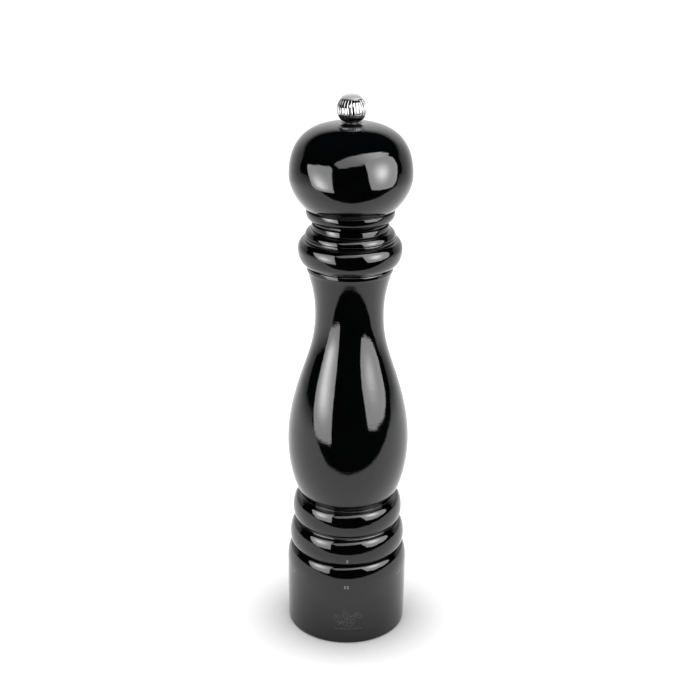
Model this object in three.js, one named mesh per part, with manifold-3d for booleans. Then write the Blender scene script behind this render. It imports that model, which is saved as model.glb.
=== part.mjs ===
// A tall turned pepper mill with a grind selector in its base ring.
// Millimetres, +Z up, the table at z = 0, the index mark and the front towards -Y.
import * as THREE from 'three';
import { mergeVertices } from 'three/addons/utils/BufferGeometryUtils.js';
import Module from 'manifold-3d';

const wasm = await Module();
wasm.setup();

// ---------------------------------------------------------------- shared sizes

const GAP = 0.3;                 // air between pieces that touch on the real mill
const ROUND = 32;                // sides of a large turned piece
const SMALL_ROUND = 16;          // sides of a washer, screw or journal
const ARMS = 3;                  // arms of the bridge and the carrier, screws per ring
const SETTINGS = 6;              // grind settings round the base ring

// Base ring: stands on the table and carries the selector's inner pieces.
const RING_TOP_Z = 43.0;
const RING_FOOT_R = 29.0;
const RING_LOW_R = 29.9;
const RING_HIGH_R = 30.25;
const RING_SHOULDER_Z = 34.2;
const RING_TOP_R = 27.2;
const FOOT_ROUND = 0.9;
const FLANGE_RECESS_R = 26.6;
const FLANGE_RECESS_Z = 3.3;
const NUT_BORE_R = 22.2;
const BUSH_SEAT_Z = 14.0;
const BUSH_BORE_R = 23.5;

// Ring bush: the plastic bearing between the base ring and the body's spigot.
const BUSH_R = 23.2;
const BUSH_INNER_R = 21.9;
const BUSH_LEDGE_R = 20.3;
const BUSH_LEDGE_TOP_Z = 16.4;
const BUSH_TOP_Z = 42.6;
const NOTCH_R = 1.2;
const NOTCH_CENTRE_R = 21.5;
const NOTCH_BOTTOM_Z = 20.0;

// Adjuster nut: screwed under the base ring, its thread lifts the burr carrier.
const NUT_BOTTOM_Z = 1.0;
const NUT_FLANGE_R = 26.3;
const NUT_FLANGE_TOP_Z = 3.0;
const NUT_SLEEVE_R = 21.9;
const NUT_THREAD_R = 17.3;
const NUT_TOP_Z = 11.6;
const NUT_SCREW_CIRCLE_R = 24.1;

// Body: outer outline from the spigot up to the seam under the head.
const SPIGOT_R = 21.6;
const SPIGOT_BOTTOM_Z = 17.0;
const LOW_BEAD = { r0: 26.7, z0: 43.4, r: 28.8, z: 48.7, r1: 25.3, z1: 56.6 };
const LOW_LIST = { r: 25.0, z0: 56.9, z1: 57.7 };
const HIGH_BEAD = { r0: 25.3, z0: 58.0, r: 27.3, z: 63.7, r1: 24.1, z1: 70.9 };
const HIGH_LIST = { r: 23.5, z0: 71.2, z1: 72.0 };
const BELLY_FOOT = { out: 3.8, up: 6.2 };                     // how the curve leaves the upper list
const BELLY = { r: 29.8, z: 100.5, below: 10.7, above: 13.0 };
const SLOPE = { r: 23.2, z: 135.5, lean: 0.33, below: 10.2, above: 9.9 };
const WAIST = { r: 16.55, z: 166.0, below: 12.8, above: 7.0 };
const NECK_LIST = { r0: 20.3, r: 20.5, z0: 187.9, z1: 189.8, sweepIn: 2.9, sweepDown: 8.7 };
const COLLAR = { r0: 20.2, z0: 190.8, r: 24.6, z: 198.3, r1: 21.9, z1: 203.0 };
const TOP_LIST = { r: 21.6, z0: 203.3, z1: 204.5 };
const TOP_ROUND = { r0: 21.2, z0: 204.8, r1: 17.7, z1: 208.9 };
const BODY_TOP_Z = 210.4;

// Body: the bore from the burrs up to the head's tenon.
const BURR_SEAT_R = 16.4;
const BURR_SEAT_TOP_Z = 33.5;
const STORE_R = 14.2;            // lower, wider part of the peppercorn store
const STORE_SHOULDER_Z = 126.0;
const THROAT_R = 11.6;           // upper part, behind the waist
const THROAT_Z = 142.0;
const MOUTH_R = 13.6;
const MOUTH_Z = 199.3;
const POCKET = { width: 8.0, depth: 1.7, z0: 24.0, z1: 38.0, past: 1.0 };
const LEAF = { half: 3.6, bend: 1.6, tip: 0.3, thick: 0.45, air: 0.1, margin: 1.0 };

// Grinding mechanism.
const HOUSING_FLANGE_R = 21.6;
const HOUSING_BOTTOM_Z = 12.0;
const HOUSING_FLANGE_TOP_Z = 14.0;
const HOUSING_NECK_R = 20.0;
const HOUSING_TOP_Z = 16.7;
const OUTLET_R = 14.2;
const HOUSING_SCREW_CIRCLE_R = 18.3;
const KEY = { r0: 14.4, r1: 15.9, width: 3.6, z0: 4.0 };
const TEETH = 12;
const TOOTH_TWIST = 0.05;        // radians a groove turns per millimetre of height
const TOOTH_DEPTH = 0.7;
const RING_BURR = { r: 16.1, z0: 17.0, z1: 31.4 };
const RING_MOUTH = { r: 14.6, z: 28.5 };
const RING_FACE = [[14.6, 28.5], [13.2, 25.2], [11.65, 21.6], [12.3, 19.3], [13.0, 17.0]];
const ROTOR_BOTTOM_Z = 13.4;
const ROTOR_FACE = [
  [11.6, 13.4], [12.6, 14.6], [12.6, 17.0], [11.9, 19.3], [11.2, 21.6], [9.4, 24.4], [7.4, 27.0],
  [6.4, 27.6],
];
const ROTOR_TEETH = { r: 7.0, z0: 14.0, z1: 27.2 };   // the part of the cone that is cut
const ROTOR_TOP_Z = 27.6;
const SPRING_POCKET_R = 5.4;
const SPRING_POCKET_Z = 18.9;
const BRIDGE = { r: 16.1, rimR: 14.4, hubR: 5.6, boreR: 3.9, z: 31.7, thick: 1.5, spoke: 3.0 };
const CARRIER = { r: 17.0, rimR: 13.6, z: 6.0, thick: 3.2, hubR: 4.6, hubZ0: 5.0, hubZ1: 12.2 };
const CARRIER_ARM = 3.2;
const KEY_SLOT_R = 12.0;         // the key slots cut the carrier's rim from here outwards

// Drive shaft and what turns with it.
const SQUARE = 5.0;
const SQUARE_HOLE = SQUARE + 2 * GAP;
const SQUARE_Z0 = 13.8;
const SQUARE_Z1 = 246.0;
const JOURNAL_R = 2.4;
const JOURNAL_BORE_R = JOURNAL_R + GAP;
const SHAFT_BOTTOM_Z = 4.2;
const STUD_TOP_Z = 266.0;
const COLLAR_RING = { r: 5.4, z: 28.2, thick: 2.4 };
const ROTOR_WASHER = { thick: 0.6, z: 12.5 };
const THRUST_WASHER = { thick: 0.5, z: 30.9 };
const KNOB_WASHER = { r: 4.2, thick: 0.5, z: 256.5 };
const SHAFT_OVERLAP = 0.5;       // how far a journal reaches into the square
const PIN_R = 0.6;
const PIN_HOLE_R = 0.8;
const PIN_HOLE_LENGTH = 20.0;
const PIN_SHORT = 0.4;           // each end of the pin stays this far inside the collar
const SPRING = { coilR: 4.6, wireR: 0.42, turns: 4.5, z0: 19.7, z1: 27.4, stepsPerTurn: 14 };

// Head, in heights above its seat on the body.
const HEAD_SEAT_Z = 210.7;
const TENON_R = 13.3;
const TENON_DEPTH = 10.7;
const HEAD_BORE_R = 4.0;
const HEAD_LIP = { r: 17.3, height: 1.2 };
const COVE = { r: 20.8, height: 5.2, top: 6.4 };
const HEAD_GROOVE = { r0: 20.3, z0: 6.6, r1: 20.4, z1: 6.9 };
const BALL_FOOT = { r: 20.8, height: 7.1, out: 2.9, up: 2.3 };
const BALL_EQUATOR = { r: 28.65, height: 22.6, below: 6.7, above: 18.6 };
const BALL_TOP = { height: 46.3, reach: 16.5 };
const WASHER_RECESS = { r: 4.6, depth: 0.7 };
const PLATE = { r: 11.0, drop: 12.5, thick: 1.5 };
const PLATE_SCREW_CIRCLE_R = 8.0;

// Knob, in heights above its flat underside.
const KNOB_SEAT_Z = 257.3;
const KNOB_R = 6.85;
const KNOB_CENTRE = 5.75;
const KNOB_FLUTES = 24;
const FLUTE_DEPTH = 0.28;
const CAP_SEAM = { r: 4.9, height: 10.53 };
const CAP_RISE = 0.1;            // the cap's dome stands this far above the ball's sphere
const CAP_PLUG_R = 3.4;
const CAP_PLUG_DEPTH = 0.8;

// ------------------------------------------------------------------- materials

function material(color, roughness, metalness) {
  return new THREE.MeshStandardMaterial({ color, roughness, metalness });
}

const lacquer = material(0x0b0b0c, 0.12, 0.0);
const chrome = material(0xd9dadc, 0.08, 1.0);
const steel = material(0x9a9ca0, 0.35, 1.0);
const burrSteel = material(0x6f7175, 0.4, 1.0);
const plastic = material(0x26272a, 0.5, 0.0);

// ------------------------------------------------------------- outline helpers

function corners(...pairs) {
  return pairs.map(([r, z]) => new THREE.Vector2(r, z));
}

function bezier(start, startHandle, endHandle, end, steps) {
  const ends = corners(start, startHandle, endHandle, end);
  return new THREE.CubicBezierCurve(...ends).getPoints(steps);
}

// A quarter of an ellipse that leaves its start across the axis and ends along it.
function quarterOut(r0, z0, r1, z1, steps) {
  const points = [];
  for (let i = 0; i <= steps; i += 1) {
    const turn = (i / steps) * Math.PI / 2;
    points.push(new THREE.Vector2(r0 + (r1 - r0) * Math.sin(turn), z1 + (z0 - z1) * Math.cos(turn)));
  }
  return points;
}

// The same quarter, leaving along the axis and ending across it.
function quarterIn(r0, z0, r1, z1, steps) {
  return quarterOut(r1, z1, r0, z0, steps).reverse();
}

function bead({ r0, z0, r, z, r1, z1 }, steps = 3) {
  return [...quarterOut(r0, z0, r, z, steps), ...quarterIn(r, z, r1, z1, steps).slice(1)];
}

// --------------------------------------------------------------- solid helpers

// Turns an outline in (radius, height) about the Z axis.
function turned(outline, sides = ROUND) {
  const points = outline.slice();
  const onAxis = points[0].x === 0 && points[points.length - 1].x === 0;
  if (!onAxis) points.push(points[0].clone());
  const geometry = new THREE.LatheGeometry(points, sides);
  geometry.rotateX(Math.PI / 2);
  return geometry;
}

// A flat shape pushed upwards from height z.
function raised(shape, z, thick, curveSegments = 8) {
  const geometry = new THREE.ExtrudeGeometry(shape, { depth: thick, bevelEnabled: false, curveSegments });
  geometry.translate(0, 0, z);
  return geometry;
}

function block(width, depth, z0, z1, x = 0, y = 0) {
  const geometry = new THREE.BoxGeometry(width, depth, z1 - z0);
  geometry.translate(x, y, (z0 + z1) / 2);
  return geometry;
}

function rod(radius, z0, z1, sides = SMALL_ROUND, x = 0, y = 0) {
  const geometry = new THREE.CylinderGeometry(radius, radius, z1 - z0, sides);
  geometry.rotateX(Math.PI / 2);
  geometry.translate(x, y, (z0 + z1) / 2);
  return geometry;
}

function solid(geometry) {
  const bare = geometry.clone();
  bare.deleteAttribute('normal');
  bare.deleteAttribute('uv');
  const merged = mergeVertices(bare, 1e-4);
  const index = merged.index.array;
  const triangles = [];
  for (let i = 0; i < index.length; i += 3) {
    const [a, b, c] = index.slice(i, i + 3);
    if (a !== b && b !== c && c !== a) triangles.push(a, b, c);
  }
  const vertProperties = new Float32Array(merged.attributes.position.array);
  const triVerts = new Uint32Array(triangles);
  return new wasm.Manifold(new wasm.Mesh({ numProp: 3, vertProperties, triVerts }));
}

function geometryOf(manifold) {
  const mesh = manifold.getMesh();
  const geometry = new THREE.BufferGeometry();
  geometry.setAttribute('position', new THREE.Float32BufferAttribute(mesh.vertProperties, 3));
  geometry.setIndex(Array.from(mesh.triVerts));
  geometry.computeVertexNormals();
  return geometry;
}

function cut(base, ...tools) {
  let body = solid(base);
  for (const tool of tools) body = body.subtract(solid(tool));
  return geometryOf(body);
}

function joined(...pieces) {
  let body = solid(pieces[0]);
  for (const piece of pieces.slice(1)) body = body.add(solid(piece));
  return geometryOf(body);
}

// One copy of a tool for each of count places round the axis, the first at angle start.
function around(count, start, tool) {
  return Array.from({ length: count }, (_, i) => tool().rotateZ(start + (i * 2 * Math.PI) / count));
}

// Spiral grooves: pushes every point that lies on the working face in or out.
function grooved(geometry, depth, isWorking) {
  const place = geometry.attributes.position;
  for (let i = 0; i < place.count; i += 1) {
    const x = place.getX(i);
    const y = place.getY(i);
    const z = place.getZ(i);
    const r = Math.hypot(x, y);
    if (isWorking(r, z)) {
      const wave = 0.5 - 0.5 * Math.cos(TEETH * (Math.atan2(y, x) + TOOTH_TWIST * z));
      const scale = (r + depth * wave) / r;
      place.setXY(i, x * scale, y * scale);
    }
  }
  geometry.computeVertexNormals();
  return geometry;
}

function piece(name, geometry, look, z = 0) {
  const mesh = new THREE.Mesh(geometry, look);
  mesh.name = name;
  mesh.position.z = z;
  return mesh;
}

function washer(name, innerR, outerR, thick, z, look = steel) {
  const outline = corners([innerR, 0], [outerR, 0], [outerR, thick], [innerR, thick]);
  return piece(name, turned(outline, SMALL_ROUND), look, z);
}

// ---------------------------------------------------------------------- screws

const SCREW = { shankR: 0.8, headR: 1.7, headHeight: 0.8, tip: 1.6, sides: 10 };
const SCREW_HOLE = { r: 1.1, headR: 1.9, headDepth: 1.0, past: 1.0 };
const SCREW_LIFT = 0.1;          // a head stands this far inside its countersink
const NUT_SCREW = { length: 10.6, holeTop: 13.0 };
const HOUSING_SCREW = { length: 14.5, holeTop: 28.5 };
const PLATE_SCREW = { length: 10.5, holeTop: -1.5 };   // hole top above the head's seat

// A countersunk wood screw standing on its head, with its point upwards.
function screw(name, length, circleR, angle, z) {
  const { shankR, headR, headHeight, tip, sides } = SCREW;
  const outline = corners(
    [0, 0], [headR, 0], [headR, headHeight / 2], [shankR, headHeight],
    [shankR, length - tip], [0, length],
  );
  const mesh = piece(name, turned(outline, sides), steel, z);
  mesh.position.x = circleR * Math.cos(angle);
  mesh.position.y = circleR * Math.sin(angle);
  return mesh;
}

function screwAngle(i, start) {
  return start + (i * 2 * Math.PI) / ARMS;
}

function screws(prefix, length, circleR, start, z) {
  return Array.from({ length: ARMS }, (_, i) => (
    screw(`${prefix}_${i + 1}`, length, circleR, screwAngle(i, start), z)
  ));
}

function screwHoles(circleR, start, z0, z1, headTop = z0) {
  const holes = around(ARMS, start, () => rod(SCREW_HOLE.r, z0, z1, SCREW.sides, circleR, 0));
  if (headTop === z0) return holes;
  const seats = around(ARMS, start, () => rod(SCREW_HOLE.headR, z0, headTop, SCREW.sides, circleR, 0));
  return [...holes, ...seats];
}

const FRONT = -Math.PI / 2;
const BACK = Math.PI / 2;
const BETWEEN_ARMS = FRONT;      // arms and spokes start at the back, so the front is open
const NUT_SCREW_START = FRONT + Math.PI / 6;

// ------------------------------------------------------------------ selector

function baseRing() {
  const outline = [
    ...corners([FLANGE_RECESS_R, 0], [RING_FOOT_R, 0], [RING_LOW_R, FOOT_ROUND]),
    ...quarterIn(RING_HIGH_R, RING_SHOULDER_Z, RING_TOP_R, RING_TOP_Z, 5),
    ...corners(
      [BUSH_BORE_R, RING_TOP_Z], [BUSH_BORE_R, BUSH_SEAT_Z], [NUT_BORE_R, BUSH_SEAT_Z],
      [NUT_BORE_R, FLANGE_RECESS_Z], [FLANGE_RECESS_R, FLANGE_RECESS_Z],
    ),
  ];
  const holeBottom = FLANGE_RECESS_Z - SCREW_HOLE.past;
  const pilots = screwHoles(NUT_SCREW_CIRCLE_R, NUT_SCREW_START, holeBottom, NUT_SCREW.holeTop);
  return piece('base_ring', cut(turned(outline), ...pilots), lacquer);
}

function ringBush() {
  const outline = corners(
    [BUSH_LEDGE_R, BUSH_SEAT_Z + GAP], [BUSH_R, BUSH_SEAT_Z + GAP], [BUSH_R, BUSH_TOP_Z],
    [BUSH_INNER_R, BUSH_TOP_Z], [BUSH_INNER_R, BUSH_LEDGE_TOP_Z], [BUSH_LEDGE_R, BUSH_LEDGE_TOP_Z],
  );
  const notch = () => rod(NOTCH_R, NOTCH_BOTTOM_Z, BUSH_TOP_Z + 1, SMALL_ROUND, NOTCH_CENTRE_R, 0);
  return piece('ring_bush', cut(turned(outline), ...around(SETTINGS, BACK, notch)), plastic);
}

function adjusterNut() {
  const outline = corners(
    [NUT_THREAD_R, NUT_BOTTOM_Z], [NUT_FLANGE_R, NUT_BOTTOM_Z], [NUT_FLANGE_R, NUT_FLANGE_TOP_Z],
    [NUT_SLEEVE_R, NUT_FLANGE_TOP_Z], [NUT_SLEEVE_R, NUT_TOP_Z], [NUT_THREAD_R, NUT_TOP_Z],
  );
  const z0 = NUT_BOTTOM_Z - SCREW_HOLE.past;
  const headTop = NUT_BOTTOM_Z + SCREW_HOLE.headDepth;
  const holes = screwHoles(NUT_SCREW_CIRCLE_R, NUT_SCREW_START, z0, NUT_TOP_Z, headTop);
  return piece('adjuster_nut', cut(turned(outline), ...holes), plastic);
}

function selectorAssembly() {
  const group = new THREE.Group();
  group.add(baseRing(), ringBush(), adjusterNut());
  const seatZ = NUT_BOTTOM_Z + SCREW_LIFT;
  group.add(...screws('nut_screw', NUT_SCREW.length, NUT_SCREW_CIRCLE_R, NUT_SCREW_START, seatZ));
  return group;
}

// ---------------------------------------------------------------------- body

function bodyOutside() {
  const { lean, below, above } = SLOPE;
  return [
    ...bead(LOW_BEAD),
    ...corners([LOW_LIST.r, LOW_LIST.z0], [LOW_LIST.r, LOW_LIST.z1]),
    ...bead(HIGH_BEAD),
    ...corners([HIGH_LIST.r, HIGH_LIST.z0]),
    ...bezier(
      [HIGH_LIST.r, HIGH_LIST.z1], [HIGH_LIST.r + BELLY_FOOT.out, HIGH_LIST.z1 + BELLY_FOOT.up],
      [BELLY.r, BELLY.z - BELLY.below], [BELLY.r, BELLY.z], 5,
    ),
    ...bezier(
      [BELLY.r, BELLY.z], [BELLY.r, BELLY.z + BELLY.above],
      [SLOPE.r + lean * below, SLOPE.z - below], [SLOPE.r, SLOPE.z], 5,
    ).slice(1),
    ...bezier(
      [SLOPE.r, SLOPE.z], [SLOPE.r - lean * above, SLOPE.z + above],
      [WAIST.r, WAIST.z - WAIST.below], [WAIST.r, WAIST.z], 5,
    ).slice(1),
    ...bezier(
      [WAIST.r, WAIST.z], [WAIST.r, WAIST.z + WAIST.above],
      [NECK_LIST.r0 - NECK_LIST.sweepIn, NECK_LIST.z0 - NECK_LIST.sweepDown],
      [NECK_LIST.r0, NECK_LIST.z0], 4,
    ).slice(1),
    ...corners([NECK_LIST.r, NECK_LIST.z0 + GAP], [NECK_LIST.r, NECK_LIST.z1]),
    ...bead(COLLAR),
    ...corners([TOP_LIST.r, TOP_LIST.z0], [TOP_LIST.r, TOP_LIST.z1]),
    ...quarterIn(TOP_ROUND.r0, TOP_ROUND.z0, TOP_ROUND.r1, TOP_ROUND.z1, 3),
    ...corners([TOP_ROUND.r1, BODY_TOP_Z]),
  ];
}

function bodyBore() {
  return corners(
    [MOUTH_R, BODY_TOP_Z], [MOUTH_R, MOUTH_Z], [THROAT_R, MOUTH_Z], [THROAT_R, THROAT_Z],
    [STORE_R, STORE_SHOULDER_Z], [STORE_R, BURR_SEAT_TOP_Z], [BURR_SEAT_R, BURR_SEAT_TOP_Z],
    [BURR_SEAT_R, SPIGOT_BOTTOM_Z],
  );
}

function millBody() {
  const spigot = corners([SPIGOT_R, SPIGOT_BOTTOM_Z], [SPIGOT_R, LOW_BEAD.z0]);
  const shape = turned([...spigot, ...bodyOutside(), ...bodyBore()]);
  const { width, depth, z0, z1, past } = POCKET;
  const pocket = block(width, depth + past, z0, z1, 0, SPIGOT_R + (past - depth) / 2);
  const holeBottom = SPIGOT_BOTTOM_Z - SCREW_HOLE.past;
  const pilots = screwHoles(HOUSING_SCREW_CIRCLE_R, BACK, holeBottom, HOUSING_SCREW.holeTop);
  return piece('mill_body', cut(shape, pocket, ...pilots), lacquer);
}

function burrHousing() {
  const outline = corners(
    [OUTLET_R, HOUSING_BOTTOM_Z], [HOUSING_FLANGE_R, HOUSING_BOTTOM_Z],
    [HOUSING_FLANGE_R, HOUSING_FLANGE_TOP_Z], [HOUSING_NECK_R, HOUSING_FLANGE_TOP_Z],
    [HOUSING_NECK_R, HOUSING_TOP_Z], [OUTLET_R, HOUSING_TOP_Z],
  );
  const keyDepth = KEY.r1 - KEY.r0;
  const key = () => block(keyDepth, KEY.width, KEY.z0, HOUSING_BOTTOM_Z + 1, KEY.r0 + keyDepth / 2, 0);
  let shell = solid(turned(outline));
  for (const one of around(ARMS, BETWEEN_ARMS, key)) shell = shell.add(solid(one));
  const bottom = HOUSING_BOTTOM_Z - SCREW_HOLE.past;
  const top = HOUSING_TOP_Z + SCREW_HOLE.past;
  const headTop = HOUSING_BOTTOM_Z + SCREW_HOLE.headDepth;
  const holes = screwHoles(HOUSING_SCREW_CIRCLE_R, BACK, bottom, top, headTop);
  for (const hole of holes) shell = shell.subtract(solid(hole));
  return piece('burr_housing', geometryOf(shell), steel);
}

function ringBurr() {
  const { r, z0, z1 } = RING_BURR;
  const outline = corners([r, z0], [r, z1], [RING_MOUTH.r, z1], ...RING_FACE);
  const isWorking = (radius, z) => radius < RING_MOUTH.r - 0.2 && z < RING_MOUTH.z;
  return piece('ring_burr', grooved(turned(outline, TEETH * 4), TOOTH_DEPTH, isWorking), burrSteel);
}

// A flat ring with a hub, joined by straight spokes.
function spokedPlate({ r, rimR, hubR, boreR, spoke }) {
  const shape = new THREE.Shape();
  shape.absarc(0, 0, r, 0, 2 * Math.PI, false);
  const bore = new THREE.Path();
  bore.absarc(0, 0, boreR, 0, 2 * Math.PI, true);
  shape.holes.push(bore);
  for (let i = 0; i < ARMS; i += 1) {
    const from = BACK + (i * 2 * Math.PI) / ARMS;
    const to = from + (2 * Math.PI) / ARMS;
    const rimTurn = Math.asin(spoke / 2 / rimR);
    const hubTurn = Math.asin(spoke / 2 / hubR);
    const window = new THREE.Path();
    window.absarc(0, 0, rimR, from + rimTurn, to - rimTurn, false);
    window.absarc(0, 0, hubR, to - hubTurn, from + hubTurn, true);
    window.closePath();
    shape.holes.push(window);
  }
  return shape;
}

function shaftBridge() {
  return piece('shaft_bridge', raised(spokedPlate(BRIDGE), BRIDGE.z, BRIDGE.thick), steel);
}

// A leaf with a raised nose, held in the pocket at the back of the spigot.
function clickSpring() {
  const { half, bend, tip, thick, air, margin } = LEAF;
  const seat = SPIGOT_R - POCKET.depth + GAP + air;
  const nose = SPIGOT_R - air;
  const bendOut = bend + tip;
  const shape = new THREE.Shape(corners(
    [-half, seat], [-bend, seat], [0, nose - thick - air], [bend, seat], [half, seat],
    [half, seat + thick], [bendOut, seat + thick], [tip, nose], [-tip, nose],
    [-bendOut, seat + thick], [-half, seat + thick],
  ));
  const long = POCKET.z1 - POCKET.z0 - 2 * margin;
  return piece('click_spring', raised(shape, POCKET.z0 + margin, long), steel);
}

function bodyAssembly() {
  const group = new THREE.Group();
  group.add(millBody(), burrHousing(), ringBurr(), shaftBridge(), clickSpring());
  const seatZ = HOUSING_BOTTOM_Z + SCREW_LIFT;
  group.add(...screws('housing_screw', HOUSING_SCREW.length, HOUSING_SCREW_CIRCLE_R, BACK, seatZ));
  return group;
}

// ----------------------------------------------------------- carrier and rotor

function burrCarrier() {
  const { r, rimR, z, thick, hubR, hubZ0, hubZ1 } = CARRIER;
  const top = z + thick;
  const rim = corners([rimR, z], [r, z], [r, top], [rimR, top]);
  const armLength = (rimR + r) / 2;
  const arm = () => block(armLength, CARRIER_ARM, z, top, armLength / 2, 0);
  const slotDepth = KEY.r1 + GAP - KEY_SLOT_R;
  const slotWidth = KEY.width + 2 * GAP;
  const slot = () => block(slotDepth, slotWidth, z - 1, top + 1, KEY_SLOT_R + slotDepth / 2, 0);
  let shape = solid(turned(rim)).add(solid(rod(hubR, hubZ0, hubZ1)));
  for (const one of around(ARMS, BACK, arm)) shape = shape.add(solid(one));
  shape = shape.subtract(solid(rod(JOURNAL_BORE_R, hubZ0 - 1, hubZ1 + 1)));
  for (const one of around(ARMS, BETWEEN_ARMS, slot)) shape = shape.subtract(solid(one));
  return piece('burr_carrier', geometryOf(shape), plastic);
}

function grindingRotor() {
  const outline = corners(
    [0, ROTOR_BOTTOM_Z], ...ROTOR_FACE,
    [SPRING_POCKET_R, ROTOR_TOP_Z], [SPRING_POCKET_R, SPRING_POCKET_Z], [0, SPRING_POCKET_Z],
  );
  const { r, z0, z1 } = ROTOR_TEETH;
  const isWorking = (radius, z) => radius > r && z > z0 && z < z1;
  const cone = grooved(turned(outline, TEETH * 4), -TOOTH_DEPTH, isWorking);
  const hole = block(SQUARE_HOLE, SQUARE_HOLE, ROTOR_BOTTOM_Z - 1, SPRING_POCKET_Z + 1);
  return piece('grinding_rotor', cut(cone, hole), burrSteel);
}

function rotorAssembly() {
  const group = new THREE.Group();
  const { thick, z } = ROTOR_WASHER;
  group.add(grindingRotor(), washer('rotor_washer', JOURNAL_BORE_R, CARRIER.hubR, thick, z));
  return group;
}

// --------------------------------------------------------------------- shaft

function crossPinHole() {
  const hole = new THREE.CylinderGeometry(PIN_HOLE_R, PIN_HOLE_R, PIN_HOLE_LENGTH, SMALL_ROUND);
  hole.rotateZ(Math.PI / 2);
  return hole;
}

function driveShaft() {
  const shape = joined(
    block(SQUARE, SQUARE, SQUARE_Z0, SQUARE_Z1),
    rod(JOURNAL_R, SHAFT_BOTTOM_Z, SQUARE_Z0 + SHAFT_OVERLAP),
    rod(JOURNAL_R, SQUARE_Z1 - SHAFT_OVERLAP, STUD_TOP_Z),
  );
  const pinZ = COLLAR_RING.z + COLLAR_RING.thick / 2;
  return piece('drive_shaft', cut(shape, crossPinHole().translate(0, 0, pinZ)), steel);
}

function shaftCollar() {
  const { r, z, thick } = COLLAR_RING;
  const disc = rod(r, -thick / 2, thick / 2);
  const shape = cut(disc, block(SQUARE_HOLE, SQUARE_HOLE, -thick, thick), crossPinHole());
  return piece('shaft_collar', shape, steel, z + thick / 2);
}

function collarPin() {
  const long = 2 * (COLLAR_RING.r - PIN_SHORT);
  const pin = new THREE.CylinderGeometry(PIN_R, PIN_R, long, SMALL_ROUND);
  pin.rotateZ(Math.PI / 2);
  return piece('collar_pin', pin, steel, COLLAR_RING.z + COLLAR_RING.thick / 2);
}

class Coil extends THREE.Curve {
  getPoint(t, target = new THREE.Vector3()) {
    const turn = t * SPRING.turns * 2 * Math.PI;
    const rise = t * (SPRING.z1 - SPRING.z0);
    return target.set(SPRING.coilR * Math.cos(turn), SPRING.coilR * Math.sin(turn), rise);
  }
}

function burrSpring() {
  const wire = new THREE.Shape();
  wire.absarc(0, 0, SPRING.wireR, 0, 2 * Math.PI, false);
  const geometry = new THREE.ExtrudeGeometry(wire, {
    extrudePath: new Coil(),
    steps: SPRING.turns * SPRING.stepsPerTurn,
    curveSegments: 3,
    bevelEnabled: false,
  });
  return piece('burr_spring', geometry, steel, SPRING.z0);
}

function shaftAssembly() {
  const group = new THREE.Group();
  group.add(driveShaft(), shaftCollar(), collarPin(), burrSpring());
  const { thick, z } = THRUST_WASHER;
  group.add(washer('thrust_washer', BRIDGE.boreR, COLLAR_RING.r, thick, z));
  return group;
}

// ---------------------------------------------------------------------- head

function millHead() {
  const { r, height, below, above } = BALL_EQUATOR;
  const top = BALL_TOP.height;
  const outline = [
    ...corners([TENON_R, -TENON_DEPTH], [TENON_R, 0], [HEAD_LIP.r, 0]),
    ...quarterOut(HEAD_LIP.r, HEAD_LIP.height, COVE.r, COVE.height, 3),
    ...corners([COVE.r, COVE.top], [HEAD_GROOVE.r0, HEAD_GROOVE.z0], [HEAD_GROOVE.r1, HEAD_GROOVE.z1]),
    ...bezier(
      [BALL_FOOT.r, BALL_FOOT.height], [BALL_FOOT.r + BALL_FOOT.out, BALL_FOOT.height + BALL_FOOT.up],
      [r, height - below], [r, height], 5,
    ),
    ...bezier(
      [r, height], [r, height + above], [BALL_TOP.reach, top], [WASHER_RECESS.r, top], 9,
    ).slice(1),
    ...corners(
      [WASHER_RECESS.r, top - WASHER_RECESS.depth], [HEAD_BORE_R, top - WASHER_RECESS.depth],
      [HEAD_BORE_R, -TENON_DEPTH],
    ),
  ];
  const holeBottom = -TENON_DEPTH - SCREW_HOLE.past;
  const pilots = screwHoles(PLATE_SCREW_CIRCLE_R, BACK, holeBottom, PLATE_SCREW.holeTop);
  return piece('mill_head', cut(turned(outline), ...pilots), lacquer);
}

function drivePlate() {
  const disc = rod(PLATE.r, 0, PLATE.thick, ROUND);
  const hole = block(SQUARE_HOLE, SQUARE_HOLE, -1, PLATE.thick + 1);
  const holes = screwHoles(PLATE_SCREW_CIRCLE_R, BACK, -1, PLATE.thick + 1);
  return piece('drive_plate', cut(disc, hole, ...holes), steel, -PLATE.drop);
}

function headAssembly() {
  const group = new THREE.Group();
  const screwSeat = -PLATE.drop - SCREW.headHeight - GAP;
  group.position.z = HEAD_SEAT_Z;
  group.add(millHead(), drivePlate());
  group.add(...screws('plate_screw', PLATE_SCREW.length, PLATE_SCREW_CIRCLE_R, BACK, screwSeat));
  return group;
}

// ---------------------------------------------------------------------- knob

function knobRadius(height) {
  return Math.sqrt(KNOB_R ** 2 - (height - KNOB_CENTRE) ** 2);
}

function fluted(geometry) {
  const place = geometry.attributes.position;
  for (let i = 0; i < place.count; i += 1) {
    const x = place.getX(i);
    const y = place.getY(i);
    const r = Math.hypot(x, y);
    const valley = 0.5 - 0.5 * Math.cos(KNOB_FLUTES * Math.atan2(y, x));
    const isBall = Math.abs(r - knobRadius(place.getZ(i))) < 0.05;
    const scale = isBall ? 1 - (FLUTE_DEPTH * valley) / r : 1;
    place.setXY(i, x * scale, y * scale);
  }
  geometry.computeVertexNormals();
  return geometry;
}

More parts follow.
